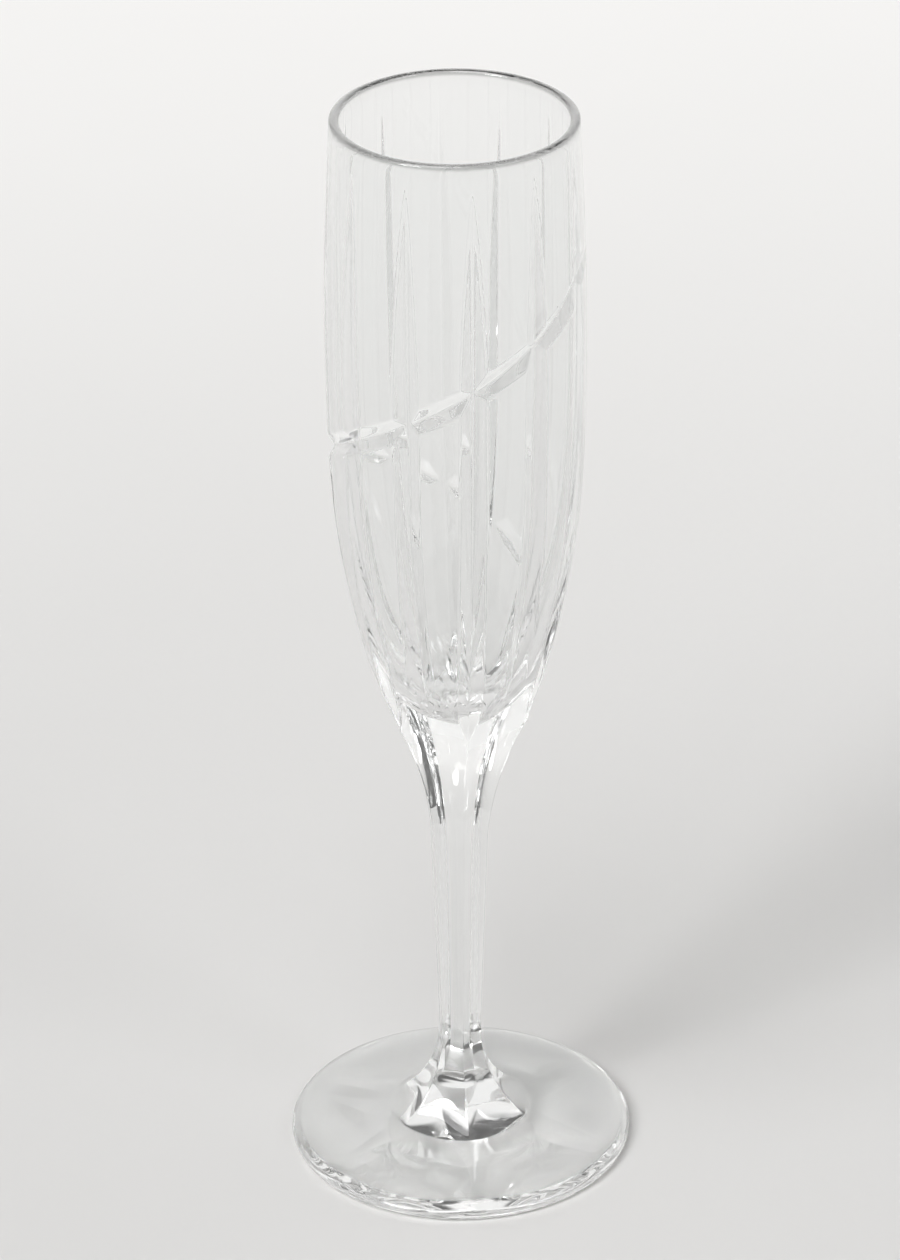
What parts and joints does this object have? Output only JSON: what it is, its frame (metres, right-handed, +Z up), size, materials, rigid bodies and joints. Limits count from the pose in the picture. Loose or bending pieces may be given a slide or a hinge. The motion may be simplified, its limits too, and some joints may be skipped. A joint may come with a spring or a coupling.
{
  "type": "champagne flute",
  "caption": "Tall stemmed cut-crystal drinking glass with upright mitre cuts, one rising swirl cut, a faceted stem and a round foot.",
  "frame": {"origin": "centre of the foot's flat underside, on the surface the flute stands on", "axes": "+Z up along the stem to the rim; -Y is the side where one upright cut lines up with a corner of the six-sided stem"},
  "size_m": [0.0724, 0.0724, 0.235],
  "materials": {
    "bowl_crystal": "clear lead crystal, fire-polished inside, cut and acid-polished outside",
    "stem_crystal": "clear lead crystal with polished hollow-ground facets",
    "foot_crystal": "clear lead crystal, polished, with a fire-rounded edge"
  },
  "bodies": {
    "root": {"bowl": "bowl_crystal", "stem": "stem_crystal", "foot": "foot_crystal"}
  },
  "joints": []
}
